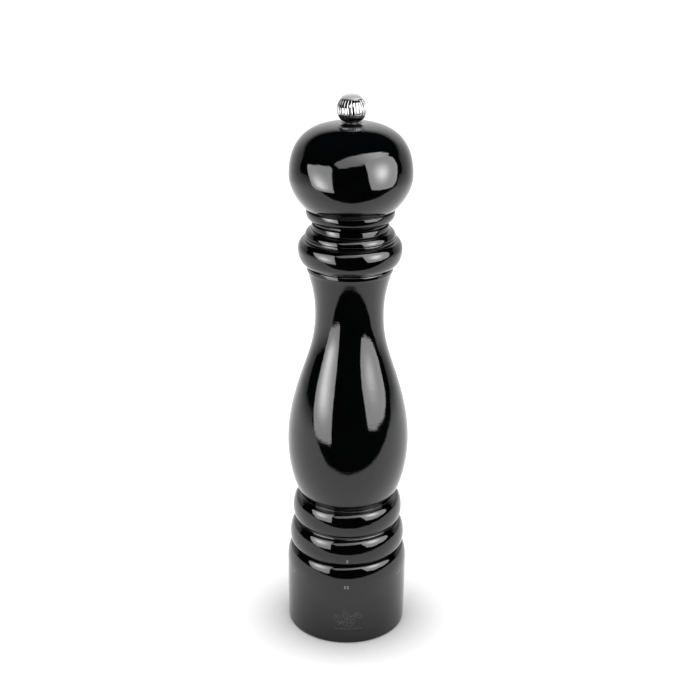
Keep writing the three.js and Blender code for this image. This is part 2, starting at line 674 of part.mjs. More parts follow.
function knob() {
  const steps = 6;
  const seam = CAP_SEAM.height;
  const ball = Array.from({ length: steps + 1 }, (_, i) => {
    const height = seam * (0.5 - 0.5 * Math.cos((i / steps) * Math.PI));
    return new THREE.Vector2(knobRadius(height), height);
  });
  const recessZ = seam - CAP_PLUG_DEPTH;
  const inside = corners(
    [CAP_PLUG_R + GAP, seam], [CAP_PLUG_R + GAP, recessZ], [JOURNAL_BORE_R, recessZ], [JOURNAL_BORE_R, 0],
  );
  return piece('knob', fluted(turned([...ball, ...inside], KNOB_FLUTES * 2)), chrome);
}

function knobCap() {
  const seam = CAP_SEAM.height + GAP;
  const top = KNOB_CENTRE + KNOB_R + CAP_RISE;
  const plugBottom = seam - CAP_PLUG_DEPTH;
  const outline = [
    ...corners([0, plugBottom], [CAP_PLUG_R, plugBottom], [CAP_PLUG_R, seam]),
    ...quarterIn(CAP_SEAM.r - CAP_RISE, seam, 0, top, 5),
  ];
  outline[outline.length - 1].x = 0;
  return piece('knob_cap', turned(outline, KNOB_FLUTES), chrome);
}

function knobAssembly() {
  const group = new THREE.Group();
  group.position.z = KNOB_SEAT_Z;
  group.add(knob(), knobCap());
  return group;
}

// ---------------------------------------------------------------------- mill

const mill = new THREE.Group();
mill.add(bodyAssembly(), selectorAssembly(), burrCarrier(), shaftAssembly(), rotorAssembly());
mill.add(washer('knob_washer', JOURNAL_BORE_R, KNOB_WASHER.r, KNOB_WASHER.thick, KNOB_WASHER.z));
mill.add(headAssembly(), knobAssembly());

export default mill;
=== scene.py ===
"""A tall pepper mill in black lacquer with a fluted chrome knob, on a white paper sweep.

The outside pieces are turned here as fine rings over the faceted CAD ones.
Lengths are in millimetres until the meshes are made, where MM turns them into metres.
"""
import math

import bmesh
import bpy
from mathutils import Matrix, Vector


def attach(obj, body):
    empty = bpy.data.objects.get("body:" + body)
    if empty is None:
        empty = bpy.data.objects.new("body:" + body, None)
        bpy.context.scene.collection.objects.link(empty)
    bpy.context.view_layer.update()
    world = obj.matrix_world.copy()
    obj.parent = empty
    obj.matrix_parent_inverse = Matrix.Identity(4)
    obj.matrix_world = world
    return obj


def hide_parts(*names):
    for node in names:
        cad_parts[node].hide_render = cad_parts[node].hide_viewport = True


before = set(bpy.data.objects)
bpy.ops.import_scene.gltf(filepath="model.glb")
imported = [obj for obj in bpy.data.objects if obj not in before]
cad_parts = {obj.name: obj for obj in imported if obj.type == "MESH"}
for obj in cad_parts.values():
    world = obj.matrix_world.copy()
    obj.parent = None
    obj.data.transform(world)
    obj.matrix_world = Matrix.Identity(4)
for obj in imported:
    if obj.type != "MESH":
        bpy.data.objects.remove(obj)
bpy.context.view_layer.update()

MM = 0.001
ROUND = 144                      # sides of a large turned piece
SHARP = math.radians(32)         # edges that bend more than this stay crisp

# Base ring.
RING_FOOT_R, RING_LOW_R, RING_HIGH_R, RING_TOP_R = 29.0, 29.88, 30.22, 27.2
FOOT_ROUND, RING_SHOULDER_Z, RING_TOP_Z = 0.9, 34.2, 43.0
FLANGE_R, FLANGE_Z, NUT_BORE_R, BUSH_SEAT_Z, BUSH_BORE_R = 26.6, 3.3, 22.2, 14.0, 23.5

# Pilot holes for screws, three to a circle: bottom z, top z, circle radius, first angle.
PILOT_R = 1.1
RING_PILOTS = (2.3, 13.0, 24.1, math.radians(-60))
BODY_PILOTS = (16.0, 28.5, 18.3, math.radians(90))
HEAD_PILOTS = (-11.7, -1.5, 8.0, math.radians(90))

# Body. A bead is its foot, its widest place and its top; a list is its radius and its two heights;
# a curve is the four (radius, z) points of a Bezier.
SPIGOT_R, SPIGOT_Z = 21.6, 17.0
LOW_BEAD = (26.7, 43.4, 28.8, 48.7, 25.3, 56.6)
LOW_LIST = (25.0, 56.9, 57.7)
HIGH_BEAD = (25.3, 58.0, 27.3, 63.7, 24.1, 70.9)
HIGH_LIST = (23.5, 71.2, 72.0)
BELLY_CURVE = ((23.5, 72.0), (27.3, 78.2), (29.8, 89.8), (29.8, 100.5))
SLOPE_CURVE = ((29.8, 100.5), (29.8, 113.5), (26.566, 125.3), (23.2, 135.5))
WAIST_CURVE = ((23.2, 135.5), (19.933, 145.4), (16.55, 153.2), (16.55, 166.0))
NECK_CURVE = ((16.55, 166.0), (16.55, 173.0), (17.4, 179.2), (20.3, 187.9))
NECK_LIST = (20.3, 20.5, 187.9, 189.8)
COLLAR = (20.2, 190.8, 24.6, 198.3, 21.9, 203.0)
TOP_LIST = (21.6, 203.3, 204.5)
TOP_ROUND = (21.2, 204.8, 18.1, 208.1)
BODY_TOP_Z = 210.4
MOUTH_R = 13.6
BORE = [(13.6, 210.4), (13.6, 199.3), (11.6, 199.3), (11.6, 142.0), (14.2, 126.0), (14.2, 33.5),
        (16.4, 33.5), (16.4, 17.0)]
POCKET = (8.0, 1.7, 24.0, 38.0)  # width, depth and two heights of the click spring's pocket

# Head and knob, in heights above their seats.
HEAD_SEAT_Z = 210.7
TENON_R, TENON_DEPTH, HEAD_BORE_R = 13.3, 10.7, 4.0
BALL_TOP, RECESS_R, RECESS_DEPTH = 46.3, 4.6, 0.7
HEAD_FOOT = [(TENON_R, 0.0), (17.3, 0.0), (17.3, 1.2)]
HEAD_COVE = (17.3, 1.2, 20.8, 5.2)
HEAD_GROOVE = [(20.8, 5.2), (20.8, 6.4), (20.3, 6.6), (20.4, 6.9), (20.8, 7.1)]
BALL_LOW_CURVE = ((20.8, 7.1), (23.7, 9.4), (28.65, 15.9), (28.65, 22.6))
BALL_HIGH_CURVE = ((28.65, 22.6), (28.65, 41.2), (16.5, BALL_TOP), (RECESS_R, BALL_TOP))
KNOB_SEAT_Z = 257.3
KNOB_R, KNOB_CENTRE, KNOB_FOOT_R, KNOB_FOOT_Z, KNOB_CLEAR = 6.85, 5.75, 3.4, 1.2, 0.02
KNOB_BORE_R, CAP_SEAT_R, CAP_SEAT_DEPTH = 2.7, 3.7, 0.8
FLUTES, FLUTE_DEPTH, FLUTE_MIN_R = 24, 0.35, 3.75
SEAM_R, SEAM_Z, CAP_GAP = 4.9, 10.53, 0.3
CAP_PLUG_R, CAP_RISE = 3.4, 0.1

# Marks on the lacquer.
FRONT = math.radians(-90)
MARK_ROOT, MARK_PROUD, STROKE_PROUD, STROKE_WIDTH = -0.03, 0.02, 0.015, 0.3
BAR_WIDTH, BAR_PITCH, BAR_Z = 0.8, 1.45, (31.9, 33.7)
INDEX_X, INDEX_Z = (-0.1, 0.8), (45.4, 47.5)
SPRIG_SHIFT = 1.3


# ------------------------------------------------------------------ outlines

def quarter_out(r0, z0, r1, z1, steps=14):
    """A quarter ellipse that leaves (r0, z0) across the axis and ends along it."""
    turns = [i / steps * math.pi / 2 for i in range(steps + 1)]
    return [(r0 + (r1 - r0) * math.sin(t), z1 + (z0 - z1) * math.cos(t)) for t in turns]


def quarter_in(r0, z0, r1, z1, steps=14):
    return quarter_out(r1, z1, r0, z0, steps)[::-1]


def bead(r0, z0, r, z, r1, z1):
    return quarter_out(r0, z0, r, z) + quarter_in(r, z, r1, z1)[1:]


def bezier(a, b, c, d, steps=22):
    points = []
    for i in range(steps + 1):
        t = i / steps
        weights = ((1 - t) ** 3, 3 * t * (1 - t) ** 2, 3 * t * t * (1 - t), t ** 3)
        points.append(tuple(sum(w * p[k] for w, p in zip(weights, (a, b, c, d))) for k in (0, 1)))
    return points


def eased(corners, radius, steps=3):
    """The corner points joined by straight runs, with each inner corner rounded off."""
    points = [corners[0]]
    for before, corner, after in zip(corners, corners[1:], corners[2:]):
        here = Vector(corner)
        to_before, to_after = Vector(before) - here, Vector(after) - here
        start = here + to_before.normalized() * min(radius, to_before.length / 2)
        end = here + to_after.normalized() * min(radius, to_after.length / 2)
        for i in range(steps + 1):
            t = i / steps
            points.append(tuple((1 - t) ** 2 * start + 2 * t * (1 - t) * here + t * t * end))
    return points + [corners[-1]]


# -------------------------------------------------------------------- meshes

def finish_mesh(name, bm, materials, body, node):
    bmesh.ops.remove_doubles(bm, verts=bm.verts, dist=1e-7)
    bmesh.ops.recalc_face_normals(bm, faces=bm.faces)
    for face in bm.faces:
        face.smooth = True
    for edge in bm.edges:
        if len(edge.link_faces) == 2:
            edge.smooth = edge.calc_face_angle(0.0) < SHARP
    mesh = bpy.data.meshes.new(name)
    bm.to_mesh(mesh)
    bm.free()
    for material in materials:
        mesh.materials.append(material)
    piece = bpy.data.objects.new(name, mesh)
    bpy.context.scene.collection.objects.link(piece)
    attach(piece, body)
    if node:
        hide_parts(node)
    return piece


def lathe(bm, runs, lift=0.0, sides=ROUND, shape=None):
    """Turns the closed outline made of runs, each (points, material index), about the Z axis."""
    outline, indices = [], []
    for points, index in runs:
        for point in points:
            if not outline or math.dist(point, outline[-1]) > 1e-5:
                outline.append(point)
                indices.append(index)
    rings = []
    for r, z in outline:
        if r < 1e-6:
            rings.append([bm.verts.new((0, 0, (z + lift) * MM))] * sides)
            continue
        ring = []
        for i in range(sides):
            angle = 2 * math.pi * i / sides
            radius = r * (shape(angle, r, z) if shape else 1.0)
            place = (radius * math.cos(angle), radius * math.sin(angle), z + lift)
            ring.append(bm.verts.new(Vector(place) * MM))
        rings.append(ring)
    closed = outline[0][0] > 1e-6
    for k in range(len(rings) if closed else len(rings) - 1):
        below, above = rings[k], rings[(k + 1) % len(rings)]
        for i in range(sides):
            j = (i + 1) % sides
            loop = [below[i], below[j], above[j], above[i]]
            corners = [v for n, v in enumerate(loop) if v not in loop[:n]]
            if len(corners) > 2:
                bm.faces.new(corners).material_index = indices[(k + 1) % len(indices)]


def turned(name, runs, materials, body, node, lift=0.0, sides=ROUND, shape=None):
    bm = bmesh.new()
    lathe(bm, runs, lift, sides, shape)
    return finish_mesh(name, bm, materials, body, node)


def hole(piece, tools):
    """Cuts the tool meshes out of the piece and removes the tools."""
    for tool in tools:
        cut = piece.modifiers.new("hole", "BOOLEAN")
        cut.operation = "DIFFERENCE"
        cut.solver = "EXACT"
        cut.object = tool
        with bpy.context.temp_override(object=piece, active_object=piece):
            bpy.ops.object.modifier_apply(modifier=cut.name)
        bpy.data.objects.remove(tool)


def block_tool(width, depth, z0, z1, x, y):
    bm = bmesh.new()
    bmesh.ops.create_cube(bm, size=1.0)
    size, centre = Vector((width, depth, z1 - z0)) * MM, Vector((x, y, (z0 + z1) / 2)) * MM
    for v in bm.verts:
        v.co = Vector(a * b for a, b in zip(v.co, size)) + centre
    return tool_object(bm)


def drill_tool(radius, z0, z1, x, y):
    bm = bmesh.new()
    bmesh.ops.create_cone(bm, cap_ends=True, segments=24, radius1=radius * MM, radius2=radius * MM,
                          depth=(z1 - z0) * MM)
    bmesh.ops.translate(bm, verts=bm.verts, vec=Vector((x, y, (z0 + z1) / 2)) * MM)
    return tool_object(bm)


def tool_object(bm):
    mesh = bpy.data.meshes.new("tool")
    bm.to_mesh(mesh)
    bm.free()
    tool = bpy.data.objects.new("tool", mesh)
    bpy.context.scene.collection.objects.link(tool)
    return tool


def ring_of_drills(z0, z1, circle, start):
    angles = [start + i * 2 * math.pi / 3 for i in range(3)]
    return [drill_tool(PILOT_R, z0, z1, circle * math.cos(a), circle * math.sin(a)) for a in angles]


# ----------------------------------------------------------------- materials

class Graph:
    """A short way to write a material's nodes."""

    def __init__(self, name):
        self.material = bpy.data.materials.new(name)
        self.material.use_nodes = True
        self.tree = self.material.node_tree
        self.shader = self.tree.nodes["Principled BSDF"]
        self.place = self.node("ShaderNodeTexCoord").outputs["Object"]

    def node(self, kind, **settings):
        made = self.tree.nodes.new(kind)
        for key, value in settings.items():
            setattr(made, key, value)
        return made

    def link(self, source, target):
        self.tree.links.new(source, target)

    def stretched(self, x, y, z):
        mapping = self.node("ShaderNodeMapping")
        mapping.inputs["Scale"].default_value = (x, y, z)
        self.link(self.place, mapping.inputs["Vector"])
        return mapping.outputs["Vector"]

    def noise(self, scale, detail=3.0, rough=0.5, at=None, distortion=0.0):
        made = self.node("ShaderNodeTexNoise")
        made.inputs["Scale"].default_value = scale
        made.inputs["Detail"].default_value = detail
        made.inputs["Roughness"].default_value = rough
        made.inputs["Distortion"].default_value = distortion
        self.link(at or self.place, made.inputs["Vector"])
        return made.outputs["Fac"]

    def rings(self, scale, distortion):
        made = self.node("ShaderNodeTexWave", wave_type="BANDS", bands_direction="Z")
        made.inputs["Scale"].default_value = scale
        made.inputs["Distortion"].default_value = distortion
        made.inputs["Detail"].default_value = 2.0
        self.link(self.place, made.inputs["Vector"])
        return made.outputs["Fac"]

    def ramp(self, value, low, high, out_low, out_high):
        made = self.node("ShaderNodeMapRange")
        for socket, number in zip(("From Min", "From Max", "To Min", "To Max"),
                                  (low, high, out_low, out_high)):
            made.inputs[socket].default_value = number
        self.link(value, made.inputs["Value"])
        return made.outputs["Result"]

    def math(self, operation, a, b):
        made = self.node("ShaderNodeMath", operation=operation)
        for value, socket in ((a, made.inputs[0]), (b, made.inputs[1])):
            if isinstance(value, (int, float)):
                socket.default_value = value
            else:
                self.link(value, socket)
        return made.outputs[0]

    def mixed(self, factor, dark, light):
        made = self.node("ShaderNodeMix", data_type="RGBA")
        self.link(factor, made.inputs["Factor"])
        for value, socket in ((dark, made.inputs["A"]), (light, made.inputs["B"])):
            if isinstance(value, tuple):
                socket.default_value = (*value, 1.0)
            else:
                self.link(value, socket)
        return made.outputs["Result"]

    def bump(self, height, strength, distance, over=None):
        made = self.node("ShaderNodeBump")
        made.inputs["Strength"].default_value = strength
        made.inputs["Distance"].default_value = distance
        self.link(height, made.inputs["Height"])
        if over:
            self.link(over, made.inputs["Normal"])
        return made.outputs["Normal"]

    def finish(self, color, roughness, normal, metallic=0.0):
        self.link(color, self.shader.inputs["Base Color"])
        self.link(roughness, self.shader.inputs["Roughness"])
        self.link(normal, self.shader.inputs["Normal"])
        self.shader.inputs["Metallic"].default_value = metallic
        self.shader.inputs["IOR"].default_value = 1.5
        return self.material


def lacquer_material():
    """Black lacquer: glossy, with the grain under it and the turning just showing through."""
    g = Graph("black_lacquer")
    grain = g.noise(1.0, 3.0, 0.6, g.stretched(1500, 1500, 60))
    peel = g.noise(190, 1.5)
    turning = g.noise(1.0, 3.0, 0.65, g.stretched(70, 70, 1300))
    cloud = g.noise(70, 4.0, 0.6)
    dust = g.ramp(g.noise(2600, 1.0), 0.71, 0.78, 0.0, 1.0)
    color = g.mixed(cloud, (0.0009, 0.0010, 0.0012), (0.0018, 0.0022, 0.0026))
    roughness = g.math("ADD", g.ramp(cloud, 0.35, 0.7, 0.03, 0.06), g.math("MULTIPLY", dust, 0.10))
    normal = g.bump(peel, 0.10, 0.00030)
    normal = g.bump(grain, 0.05, 0.00004, normal)
    normal = g.bump(turning, 0.45, 0.00004, normal)
    return g.finish(color, roughness, normal)


def beech_material():
    """Bare turned beech: straight grain along the axis, short dark flecks, turning marks."""
    g = Graph("bare_beech")
    bands = g.noise(1.0, 5.0, 0.55, g.stretched(160, 260, 14), 0.6)
    flecks = g.ramp(g.noise(1.0, 2.0, 0.5, g.stretched(2600, 2600, 260)), 0.60, 0.74, 0.0, 1.0)
    marks = g.rings(420, 0.8)
    color = g.mixed(g.ramp(bands, 0.3, 0.7, 0.0, 1.0), (0.46, 0.27, 0.135), (0.62, 0.41, 0.235))
    color = g.mixed(g.math("MULTIPLY", flecks, 0.55), color, (0.27, 0.135, 0.06))
    roughness = g.ramp(bands, 0.3, 0.7, 0.62, 0.78)
    normal = g.bump(marks, 0.25, 0.00012)
    normal = g.bump(flecks, 0.30, 0.00010, normal)
    return g.finish(color, roughness, normal)


def chrome_material(name, dark, light, rough_low, rough_high, metallic=1.0):
    """Chrome with faint smears and hairline scratches; a matt finish is partly diffuse."""
    g = Graph(name)
    smear = g.noise(420, 4.0, 0.6)
    hair = g.ramp(g.noise(1.0, 2.0, 0.5, g.stretched(900, 5200, 2600)), 0.62, 0.72, 0.0, 1.0)
    color = g.mixed(smear, dark, light)
    roughness = g.ramp(smear, 0.35, 0.7, rough_low, rough_high)
    roughness = g.math("ADD", roughness, g.math("MULTIPLY", hair, 0.08))
    normal = g.bump(hair, 0.05, 0.00003)
    return g.finish(color, roughness, normal, metallic=metallic)


def brushed_material(name, dark, light, rough_low, rough_high, brush, depth):
    """Plain metal with brushing across it and patches of handling."""
    g = Graph(name)
    lines = g.noise(1.0, 3.0, 0.6, g.stretched(*brush))
    patches = g.noise(260, 4.0, 0.6)
    color = g.mixed(g.math("MULTIPLY", g.math("ADD", lines, patches), 0.5), dark, light)
    roughness = g.ramp(patches, 0.3, 0.7, rough_low, rough_high)
    normal = g.bump(lines, depth, 0.00006)
    return g.finish(color, roughness, normal, metallic=1.0)


def burr_material():
    """Case-hardened burr steel: dark, machined in fine rings, with patches of pepper dust."""
    g = Graph("burr_steel")
    rings = g.rings(900, 0.6)
    patches = g.noise(330, 5.0, 0.65)
    dust = g.ramp(g.noise(1500, 3.0, 0.7), 0.58, 0.66, 0.0, 0.6)
    color = g.mixed(patches, (0.20, 0.205, 0.215), (0.34, 0.34, 0.35))
    color = g.mixed(dust, color, (0.085, 0.06, 0.04))
    roughness = g.math("ADD", g.ramp(patches, 0.3, 0.7, 0.26, 0.42), g.math("MULTIPLY", dust, 0.4))
    normal = g.bump(rings, 0.20, 0.00006)
    normal = g.bump(dust, 0.25, 0.00005, normal)
    return g.finish(color, roughness, normal, metallic=0.9)


def plastic_material():
    """Moulded black plastic with a fine spark-eroded texture."""
    g = Graph("black_plastic")
    spark = g.noise(4200, 3.0, 0.6)
    flow = g.noise(120, 3.0, 0.5)
    color = g.mixed(flow, (0.012, 0.012, 0.013), (0.024, 0.024, 0.026))
    roughness = g.ramp(spark, 0.3, 0.7, 0.40, 0.58)
    normal = g.bump(spark, 0.35, 0.00003)
    return g.finish(color, roughness, normal)


def etch_material(name, dark, light):
    """The grey of marks etched into the lacquer, slightly broken up and matt."""
    g = Graph(name)
    speckle = g.noise(6000, 3.0, 0.7)
    color = g.mixed(g.ramp(speckle, 0.3, 0.7, 0.0, 1.0), (dark,) * 3, (light,) * 3)
    roughness = g.ramp(speckle, 0.3, 0.7, 0.45, 0.65)
    normal = g.bump(speckle, 0.3, 0.00002)
    return g.finish(color, roughness, normal)


# -------------------------------------------------------------- outside pieces

def base_ring(lacquer, beech):
    side = quarter_out(RING_FOOT_R, 0.0, RING_LOW_R, FOOT_ROUND, 6)
    shoulder = quarter_in(RING_HIGH_R, RING_SHOULDER_Z, RING_TOP_R, RING_TOP_Z, 20)
    rise = [(RING_LOW_R + (RING_HIGH_R - RING_LOW_R) * i / 8,
             FOOT_ROUND + (RING_SHOULDER_Z - FOOT_ROUND) * i / 8) for i in range(1, 8)]
    outside = [(FLANGE_R, 0.0)] + side + rise + shoulder + [(BUSH_BORE_R, RING_TOP_Z)]
    inside = [(BUSH_BORE_R, RING_TOP_Z), (BUSH_BORE_R, BUSH_SEAT_Z), (NUT_BORE_R, BUSH_SEAT_Z),
              (NUT_BORE_R, FLANGE_Z), (FLANGE_R, FLANGE_Z), (FLANGE_R, 0.0)]
    runs = [(outside, 0), (eased(inside, 0.25), 1)]
    ring = turned("ring_wood", runs, [lacquer, beech], "selector", "base_ring")
    hole(ring, ring_of_drills(*RING_PILOTS))


def mill_body(lacquer, beech):
    belly = bezier(*BELLY_CURVE, 26)
    slope = bezier(*SLOPE_CURVE, 26)
    waist = bezier(*WAIST_CURVE, 24)
    neck = bezier(*NECK_CURVE, 22)
    low_r, low_z0, low_z1 = LOW_LIST
    high_r, high_z0, high_z1 = HIGH_LIST
    neck_r0, neck_r, neck_z0, neck_z1 = NECK_LIST
    top_r, top_z0, top_z1 = TOP_LIST
    outside = (
        [(SPIGOT_R, LOW_BEAD[1])] + bead(*LOW_BEAD)
        + eased([(LOW_BEAD[4], LOW_BEAD[5]), (low_r, low_z0), (low_r, low_z1), HIGH_BEAD[:2]], 0.15)
        + bead(*HIGH_BEAD)
        + eased([HIGH_BEAD[4:], (high_r, high_z0), (high_r, high_z1)], 0.15)
        + belly[1:] + slope[1:] + waist[1:] + neck[1:]
        + eased([(neck_r0, neck_z0), (neck_r, neck_z0 + 0.3), (neck_r, neck_z1),
                 (COLLAR[0] - 0.25, COLLAR[1] - 0.35), COLLAR[:2]], 0.3, 5)
        + bead(*COLLAR)
        + eased([COLLAR[4:], (top_r - 0.25, top_z0 - 0.1), (top_r, top_z0), (top_r, top_z1),
                 (TOP_ROUND[0] - 0.25, top_z1 + 0.15), TOP_ROUND[:2]], 0.1)
        + quarter_in(*TOP_ROUND, 18)
    )
    spigot = eased([(BORE[-1][0], SPIGOT_Z), (SPIGOT_R, SPIGOT_Z), (SPIGOT_R, LOW_BEAD[1])], 0.4)
    top_face = eased([TOP_ROUND[2:], (TOP_ROUND[2], BODY_TOP_Z), (MOUTH_R, BODY_TOP_Z)], 0.2)
    runs = [(spigot, 1), (outside + top_face, 0), (eased(BORE, 0.25), 1)]
    body = turned("body_wood", runs, [lacquer, beech], "body", "mill_body")
    width, depth, z0, z1 = POCKET
    pocket = block_tool(width, depth + 1.0, z0, z1, 0.0, SPIGOT_R + (1.0 - depth) / 2)
    hole(body, [pocket] + ring_of_drills(*BODY_PILOTS))


def mill_head(lacquer, beech):
    outside = (
        eased(HEAD_FOOT, 0.3)
        + quarter_out(*HEAD_COVE)
        + eased(HEAD_GROOVE, 0.08)
        + bezier(*BALL_LOW_CURVE)[1:] + bezier(*BALL_HIGH_CURVE, 44)[1:]
    )
    recess_z = BALL_TOP - RECESS_DEPTH
    recess = eased([(RECESS_R, BALL_TOP), (RECESS_R, recess_z), (HEAD_BORE_R, recess_z)], 0.1)
    inside = eased([(HEAD_BORE_R, recess_z), (HEAD_BORE_R, -TENON_DEPTH), (TENON_R, -TENON_DEPTH),
                    (TENON_R, 0.0)], 0.3)
    runs = [(outside + recess, 0), (inside, 1)]
    head = turned("head_wood", runs, [lacquer, beech], "head", "mill_head", HEAD_SEAT_Z)
    low, high, circle, start = HEAD_PILOTS
    hole(head, ring_of_drills(HEAD_SEAT_Z + low, HEAD_SEAT_Z + high, circle, start))


def knob(chrome):
    def radius(z):
        return math.sqrt(KNOB_R ** 2 - (z - KNOB_CENTRE) ** 2)

    def flute(angle, r, z):
        """Flat ribs between narrow grooves that die out at the foot and just under the seam."""
        if r < FLUTE_MIN_R or z > SEAM_Z - 0.02:
            return 1.0
        ends = min(1.0, z / 2.0, (SEAM_Z - z) / 0.7)
        groove = (1.0 - abs(math.sin(FLUTES * angle / 2))) ** 3
        return 1.0 - (FLUTE_DEPTH * groove * ends + KNOB_CLEAR) / r

    rows = 24
    heights = [KNOB_FOOT_Z + (SEAM_Z - KNOB_FOOT_Z) * (0.5 - 0.5 * math.cos(i / rows * math.pi))
               for i in range(rows + 1)]
    foot_r, seat_z = radius(KNOB_FOOT_Z), SEAM_Z - CAP_SEAT_DEPTH
    foot = bezier((KNOB_FOOT_R, 0.0), (KNOB_FOOT_R + 0.1, 0.3), (foot_r - 0.5, KNOB_FOOT_Z - 0.4),
                  (foot_r, KNOB_FOOT_Z), 8)
    ball = foot + [(radius(z), z) for z in heights][1:]
    inside = [ball[-1], (CAP_SEAT_R, SEAM_Z), (CAP_SEAT_R, seat_z), (KNOB_BORE_R, seat_z),
              (KNOB_BORE_R, 0.0), ball[0]]
    runs = [(ball, 0), (eased(inside, 0.1, 2), 0)]
    turned("knob_ball", runs, [chrome], "knob", "knob", KNOB_SEAT_Z, FLUTES * 14, flute)


def knob_cap(satin):
    rim_r, rim_z, top = SEAM_R - 0.1, SEAM_Z + CAP_GAP, KNOB_CENTRE + KNOB_R + CAP_RISE
    dome = bezier((rim_r, rim_z), (rim_r - 0.6, rim_z + 1.1), (2.4, top), (0.0, top), 18)
    plug_z = rim_z - CAP_SEAT_DEPTH
    plug = eased([(0.0, plug_z), (CAP_PLUG_R, plug_z), (CAP_PLUG_R, rim_z), (rim_r, rim_z)],
                 0.08, 2)
    turned("knob_top", [(plug, 0), (dome, 0)], [satin], "knob", "knob_cap", KNOB_SEAT_Z, 96)


# ---------------------------------------------------------------------- marks

def ring_radius(z):
    rise = (RING_HIGH_R - RING_LOW_R) * (z - FOOT_ROUND)
    return RING_LOW_R + rise / (RING_SHOULDER_Z - FOOT_ROUND)


def low_bead_radius(z):
    r, z_wide, r_low, z_low = LOW_BEAD[2], LOW_BEAD[3], LOW_BEAD[0], LOW_BEAD[1]
    drop = (z_wide - z) / (z_wide - z_low)
    return r_low + (r - r_low) * math.sqrt(max(0.0, 1 - drop * drop))


def patch(bm, corners_x, corners_z, radius_at, turn, rows=3):
    """A thin raised patch on the turned surface: x along the surface from angle turn, z up."""
    x0, x1 = corners_x
    z0, z1 = corners_z
    columns = 3
    layers = []
    for lift in (MARK_ROOT, MARK_PROUD):
        layer = []
        for i in range(rows + 1):
            z = z0 + (z1 - z0) * i / rows
            row = []
            for k in range(columns + 1):
                x = x0 + (x1 - x0) * k / columns
                r = radius_at(z) + lift
                angle = turn + x / radius_at(z)
                row.append(bm.verts.new(Vector((r * math.cos(angle), r * math.sin(angle), z)) * MM))
            layer.append(row)
        layers.append(layer)
    bottom, top = layers
    for i in range(rows):
        for k in range(columns):
            bm.faces.new([top[i][k], top[i][k + 1], top[i + 1][k + 1], top[i + 1][k]])
            bm.faces.new([bottom[i][k], bottom[i + 1][k], bottom[i + 1][k + 1], bottom[i][k + 1]])
    for i in range(rows):
        bm.faces.new([bottom[i][0], top[i][0], top[i + 1][0], bottom[i + 1][0]])
        bm.faces.new([bottom[i][-1], bottom[i + 1][-1], top[i + 1][-1], top[i][-1]])
    for k in range(columns):
        bm.faces.new([bottom[0][k], bottom[0][k + 1], top[0][k + 1], top[0][k]])
        bm.faces.new([bottom[-1][k], top[-1][k], top[-1][k + 1], bottom[-1][k + 1]])


def setting_marks(etch):
    """Groups of one to six bars round the ring, counting up counter-clockwise from above."""
    bm = bmesh.new()
    for count in range(1, 7):
        turn = FRONT + math.radians(60 * (count - 2))
        for i in range(count):
            middle = (i - (count - 1) / 2) * BAR_PITCH
            sides = (middle - BAR_WIDTH / 2, middle + BAR_WIDTH / 2)
            patch(bm, sides, BAR_Z, ring_radius, turn)
    marks = finish_mesh("setting_marks", bm, [etch], "selector", None)


def stroke(bm, points, radius_at, turn):
    """A thin raised line on the turned surface along points (x, z); it closes if the ends meet."""
    closed = math.dist(points[0], points[-1]) < 1e-6
    path = [Vector(p) for p in (points[:-1] if closed else points)]
    count = len(path)
    rows = []
    for i, here in enumerate(path):
        before = path[i - 1] if closed or i else here
        after = path[(i + 1) % count] if closed or i < count - 1 else here
        along = (after - before).normalized()
        side = Vector((-along.y, along.x)) * STROKE_WIDTH / 2
        row = []
        for offset, lift in ((side, MARK_ROOT), (side, STROKE_PROUD), (-side, STROKE_PROUD),
                             (-side, MARK_ROOT)):
            x, z = here + offset
            r, angle = radius_at(z) + lift, turn + x / radius_at(z)
            row.append(bm.verts.new(Vector((r * math.cos(angle), r * math.sin(angle), z)) * MM))
        rows.append(row)
    for i in range(count if closed else count - 1):
        low, high = rows[i], rows[(i + 1) % count]
        for k in range(4):
            m = (k + 1) % 4
            bm.faces.new([low[k], low[m], high[m], high[k]])
    if not closed:
        bm.faces.new(rows[0])
        bm.faces.new(rows[-1][::-1])


def pepper_sprig(etch):
    """A small line drawing near the foot: a leafy stem with five berries over a ground line."""
    def circle(x, z, r, steps=20):
        turns = [2 * math.pi * i / steps for i in range(steps + 1)]
        ring = [(x + r * math.cos(t), z + r * math.sin(t)) for t in turns]
        return ring[:-1] + ring[:1]

    def leaf(root, tip, bulge):
        root, tip = Vector(root), Vector(tip)
        along = tip - root
        side = Vector((-along.y, along.x)) * bulge
        edges = [bezier(root, root + along * 0.25 + side * s, root + along * 0.7 + side * s, tip,
                        10) for s in (1, -1)]
        vein = [tuple(root + along * t) for t in (0.0, 0.2, 0.4, 0.6, 0.78)]
        return edges[0] + edges[1][-2::-1], vein

    turn = FRONT + SPRIG_SHIFT / RING_LOW_R
    bm = bmesh.new()
    stem = bezier((-5.2, 11.0), (-2.5, 12.4), (1.0, 17.2), (5.6, 18.6), 16)
    ground = [(-7.2 + 0.9 * i, 8.6) for i in range(17)]
    lines = [stem, ground]
    for root, tip, bulge in (((-3.6, 11.9), (-7.0, 17.0), 0.32), ((-1.0, 14.2), (-2.4, 19.8), 0.30),
                             ((2.6, 17.3), (7.4, 15.0), 0.30)):
        outline, vein = leaf(root, tip, bulge)
        lines += [outline, vein]
    for x, z in ((-1.6, 11.4), (0.7, 11.0), (0.0, 13.3), (2.3, 12.9), (2.0, 15.2)):
        lines.append(circle(x, z, 1.0))
    for line in lines:
        stroke(bm, line, ring_radius, turn)
    sprig = finish_mesh("pepper_sprig", bm, [etch], "selector", None)


def index_mark(etch):
    bm = bmesh.new()
    patch(bm, INDEX_X, INDEX_Z, low_bead_radius, FRONT, rows=8)
    mark = finish_mesh("index_mark", bm, [etch], "body", None)


# --------------------------------------------------------------------- studio

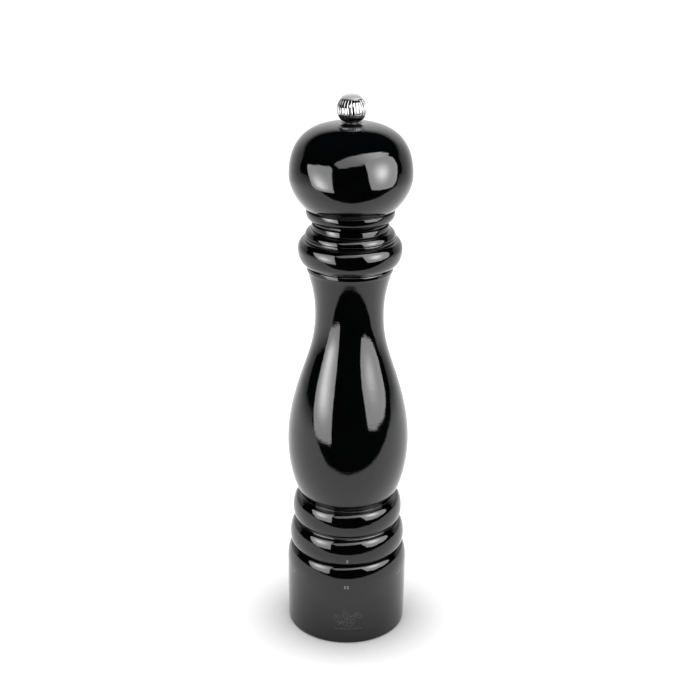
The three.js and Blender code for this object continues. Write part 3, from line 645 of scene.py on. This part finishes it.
def paper_with_painted_light_material():
    """White paper with a faint tooth and a painted glow, with a painted shadow at the foot, fading
    to black high up the wall as painted shade.
    """
    g = Graph("white_paper_painted_glow_and_shadow")
    tooth = g.noise(900, 4.0, 0.6)
    height = g.node("ShaderNodeSeparateXYZ")
    g.link(g.place, height.inputs[0])
    oval = g.node("ShaderNodeVectorMath", operation="MULTIPLY")
    g.link(g.place, oval.inputs[0])
    oval.inputs[1].default_value = (0.84, 1.05, 1.0)
    reach = g.node("ShaderNodeVectorMath", operation="LENGTH")
    g.link(oval.outputs[0], reach.inputs[0])
    # Painted shade: above 0.85 m the wall's colour and glow fade to black by 1.25 m.
    fade_to_painted_dark = g.ramp(height.outputs["Z"], 0.85, 1.25, 1.0, 0.0)
    # Painted shadow round the mill's foot: no glow at the foot, rising over the next few
    # centimetres; the next two ramps add painted light further out and take some back far off.
    near = g.ramp(reach.outputs["Value"], 0.026, 0.064, 0.0, 0.53)
    middle = g.ramp(reach.outputs["Value"], 0.14, 0.38, 0.0, 0.14)
    far = g.ramp(reach.outputs["Value"], 0.5, 1.0, 0.0, -0.36)
    painted_glow = g.math("MULTIPLY", g.math("ADD", g.math("ADD", near, middle), far), fade_to_painted_dark)
    shade = g.mixed(tooth, (0.80, 0.80, 0.80), (0.82, 0.82, 0.82))
    # The glow is painted light: the paper is no lamp.
    g.link(g.mixed(painted_glow, (0.0, 0.0, 0.0), (1.0, 1.0, 1.0)), g.shader.inputs["Emission Color"])
    g.shader.inputs["Emission Strength"].default_value = 1.0
    g.shader.inputs["Specular IOR Level"].default_value = 0.0
    normal = g.bump(tooth, 0.05, 0.0001)
    color = g.mixed(fade_to_painted_dark, (0.0, 0.0, 0.0), shade)
    return g.finish(color, g.ramp(tooth, 0.0, 1.0, 0.9, 1.0), normal)


def card_material(name, edge, hot, centre, spread):
    """A lamp's diffuser: hot at centre, in the card's own metres, and falling off over spread."""
    g = Graph(name)
    offset = g.node("ShaderNodeVectorMath", operation="DISTANCE")
    g.link(g.place, offset.inputs[0])
    offset.inputs[1].default_value = centre
    cloth = g.noise(60, 3.0, 0.6)
    ratio = g.math("DIVIDE", offset.outputs["Value"], spread)
    peak = g.math("POWER", 2.718, g.math("MULTIPLY", g.math("MULTIPLY", ratio, ratio), -1.0))
    level = g.math("ADD", edge, g.math("MULTIPLY", peak, hot - edge))
    level = g.math("MULTIPLY", level, g.ramp(cloth, 0.3, 0.7, 0.9, 1.1))
    grey = g.node("ShaderNodeCombineColor")
    for channel in ("Red", "Green", "Blue"):
        g.link(level, grey.inputs[channel])
    g.link(grey.outputs["Color"], g.shader.inputs["Emission Color"])
    g.shader.inputs["Emission Strength"].default_value = 1.0
    g.shader.inputs["Base Color"].default_value = (0.0, 0.0, 0.0, 1.0)
    g.shader.inputs["Specular IOR Level"].default_value = 0.0
    return g.material


def reflected_shade_material():
    """Black velvet, painted shade: laid in front of the mill, it darkens the reflections."""
    g = Graph("black_card_painted_shade")
    pile = g.noise(1200, 3.0, 0.6)
    g.shader.inputs["Specular IOR Level"].default_value = 0.0
    color = g.mixed(pile, (0.001, 0.001, 0.001), (0.003, 0.003, 0.003))
    return g.finish(color, g.ramp(pile, 0.0, 1.0, 0.9, 1.0), g.bump(pile, 0.2, 0.0002))


def stage_mesh(name, points, faces, material):
    mesh = bpy.data.meshes.new(name)
    mesh.from_pydata(points, [], faces)
    mesh.materials.append(material)
    for face in mesh.polygons:
        face.use_smooth = True
    made = bpy.data.objects.new(name, mesh)
    bpy.context.scene.collection.objects.link(made)
    return made


def sweep(material):
    """A paper sheet: floor, curve and wall."""
    front_y, bend_y, bend_r = -3.0, 0.6, 0.35
    path = [(front_y + (bend_y - front_y) * i / 24, 0.0) for i in range(25)]
    path += [(bend_y + bend_r * math.sin(t), bend_r - bend_r * math.cos(t))
             for t in (math.radians(90) * i / 10 for i in range(1, 11))]
    path += [(bend_y + bend_r, bend_r + 0.1 * i) for i in range(1, 10)]
    columns, half_width = 16, 3.0
    points = [(half_width * (2 * i / columns - 1), y, z)
              for y, z in path for i in range(columns + 1)]
    faces = []
    for row in range(len(path) - 1):
        for i in range(columns):
            k = row * (columns + 1) + i
            faces.append((k, k + 1, k + columns + 2, k + columns + 1))
    stage_mesh("sweep", points, faces, material)


def card(name, outline, place, target, material):
    """A flat card with this outline, seen only in reflections, level or turned to face target."""
    points, face = [(x, y, 0.0) for x, y in outline], tuple(range(len(outline)))
    made = stage_mesh(name, points, [face], material)
    made.location = place
    if target:
        made.rotation_euler = (Vector(target) - Vector(place)).to_track_quat("Z", "Y").to_euler()
    made.visible_camera = made.visible_diffuse = made.visible_shadow = False


def lamp(name, place, target, width, height, radiance):
    """A large soft light that reflections don't show."""
    light = bpy.data.lights.new(name, "AREA")
    light.shape = "RECTANGLE"
    light.size, light.size_y = width, height
    light.energy = radiance * math.pi * width * height
    made = bpy.data.objects.new(name, light)
    made.location = place
    made.rotation_euler = (Vector(target) - Vector(place)).to_track_quat("-Z", "Y").to_euler()
    made.visible_camera = made.visible_glossy = False
    bpy.context.scene.collection.objects.link(made)


def studio():
    """Paper, lamps, and cards whose outlines end where the photograph's reflections do."""
    sweep(paper_with_painted_light_material())
    wedge = [(-3.0, -1.0), (-1.2, -0.32), (-0.6, -0.30), (-0.34, -0.24), (-0.20, -0.195),
             (-0.12, -0.172), (-0.06, -0.163), (0.0, -0.159), (0.06, -0.160), (0.12, -0.161),
             (0.22, -0.155), (0.35, -0.145), (0.6, -0.11), (0.9, 0.0), (3.0, 0.4), (3.0, -3.0),
             (-3.0, -3.0)]
    # Painted shade: this black card on the floor in front shows only in reflections, darkening them
    # where the room is unlit.
    card("front_card", wedge, (0, 0, 0.0006), None, reflected_shade_material())
    left = card_material("left_cloth", 5.0, 15.0, (-0.01, 0.03, 0.0), 0.075)
    left_outline = [(-0.136, -0.175), (-0.12, -0.19), (0.10, -0.19), (0.15, -0.155), (0.165, -0.04),
                    (0.125, 0.17), (0.105, 0.188), (-0.12, 0.19), (-0.136, 0.175)]
    card("left_card", left_outline, (-0.2695, -0.1868, 0.1543), (-0.1663, 0.007, -0.0503), left)
    right = card_material("right_cloth", 5.4, 17.0, (0.01, -0.03, 0.0), 0.08)
    right_outline = [(-0.24, 0.0), (-0.25, -0.155), (-0.20, -0.20), (-0.11, -0.238), (0.05, -0.262),
                     (0.155, -0.245), (0.178, -0.09), (0.165, 0.115), (0.15, 0.13), (-0.12, 0.13),
                     (-0.18, 0.10)]
    card("right_card", right_outline, (0.2786, -0.1741, 0.2955), (0.0674, -0.0202, 0.1479), right)
    over = card_material("high_cloth", 2.9, 7.5, (0.6, -0.3, 0.0), 0.5)
    over_outline = [(-0.70, -1.02), (-0.46, -0.84), (-0.25, -0.70), (0.0, -0.55), (0.37, -0.31),
                    (0.91, 0.03), (1.04, -0.135), (0.72, -0.68), (0.40, -1.22), (0.0, -1.45),
                    (-0.70, -1.78)]
    card("high_card", over_outline, (0, 0, 0.835), None, over)
    lamp("overhead", (0, 0.05, 1.2), (0, 0.05, 0), 1.7, 1.7, 2.3)
    lamp("fill", (0.25, -0.9, 0.7), (0, 0, 0.15), 0.6, 0.5, 1.0)
    # Past the paper the camera sees a pale room; the world lights and reflects nothing.
    world = bpy.data.worlds.new("studio")
    world.use_nodes = True
    world.node_tree.nodes["Background"].inputs["Color"].default_value = (0.85, 0.85, 0.85, 1.0)
    world.cycles_visibility.glossy = world.cycles_visibility.diffuse = False
    bpy.context.scene.world = world
    bpy.context.scene.view_settings.view_transform = "Standard"


def camera():
    """In front of the mill, 21.5 degrees above it, with the photograph's slight roll."""
    data = bpy.data.cameras.new("camera")
    data.sensor_width = 36.0
    data.lens = 63.41
    data.shift_x = 0.0014
    data.clip_start, data.clip_end = 0.01, 20.0
    made = bpy.data.objects.new("camera", data)
    place, target, roll = Vector((0, -0.5535, 0.3651)), Vector((0, 0, 0.1470)), 0.0114
    aim = (target - place).to_track_quat("-Z", "Y").to_matrix().to_4x4()
    made.matrix_world = Matrix.Translation(place) @ aim @ Matrix.Rotation(roll, 4, "Z")
    bpy.context.scene.collection.objects.link(made)
    bpy.context.scene.camera = made


def dress(nodes, material, names):
    """Gives the CAD nodes that are kept as they are their finished material."""
    for name in names:
        node = nodes[name]
        node.data.materials.clear()
        node.data.materials.append(material)


def build():
    camera()
    studio()
    lacquer, beech = lacquer_material(), beech_material()
    etch = etch_material("etched_marks", 0.14, 0.24)
    faint = etch_material("faint_etching", 0.030, 0.055)
    chrome = chrome_material("chrome", (0.30, 0.305, 0.31), (0.38, 0.38, 0.385), 0.03, 0.08)
    satin = chrome_material("satin_chrome", (0.60, 0.60, 0.605), (0.70, 0.70, 0.70), 0.30, 0.42,
                            0.45)
    base_ring(lacquer, beech)
    mill_body(lacquer, beech)
    mill_head(lacquer, beech)
    knob(chrome)
    knob_cap(satin)
    setting_marks(etch)
    pepper_sprig(faint)
    index_mark(etch)
    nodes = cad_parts
    plated = brushed_material("plated_steel", (0.42, 0.42, 0.43), (0.62, 0.62, 0.61),
                              0.20, 0.38, (2400, 2400, 120), 0.15)
    spring = brushed_material("spring_steel", (0.30, 0.30, 0.31), (0.46, 0.46, 0.47),
                              0.22, 0.34, (900, 900, 900), 0.10)
    # Painted shade: the washer under the knob gets far darker steel than the other plated parts,
    # for the shade under the knob.
    shaded_washer_steel = brushed_material("washer_steel_painted_shade", (0.10, 0.10, 0.10), (0.18, 0.18, 0.18),
                            0.25, 0.40, (1500, 1500, 1500), 0.10)
    screws = [f"{kind}_screw_{i}" for kind in ("housing", "nut", "plate") for i in (1, 2, 3)]
    dress(nodes, plated, ["burr_housing", "shaft_bridge", "drive_shaft", "shaft_collar",
                          "thrust_washer", "rotor_washer", "drive_plate", "collar_pin"] + screws)
    dress(nodes, spring, ["burr_spring", "click_spring"])
    dress(nodes, shaded_washer_steel, ["knob_washer"])
    dress(nodes, burr_material(), ["ring_burr", "grinding_rotor"])
    dress(nodes, plastic_material(), ["ring_bush", "adjuster_nut", "burr_carrier"])


build()
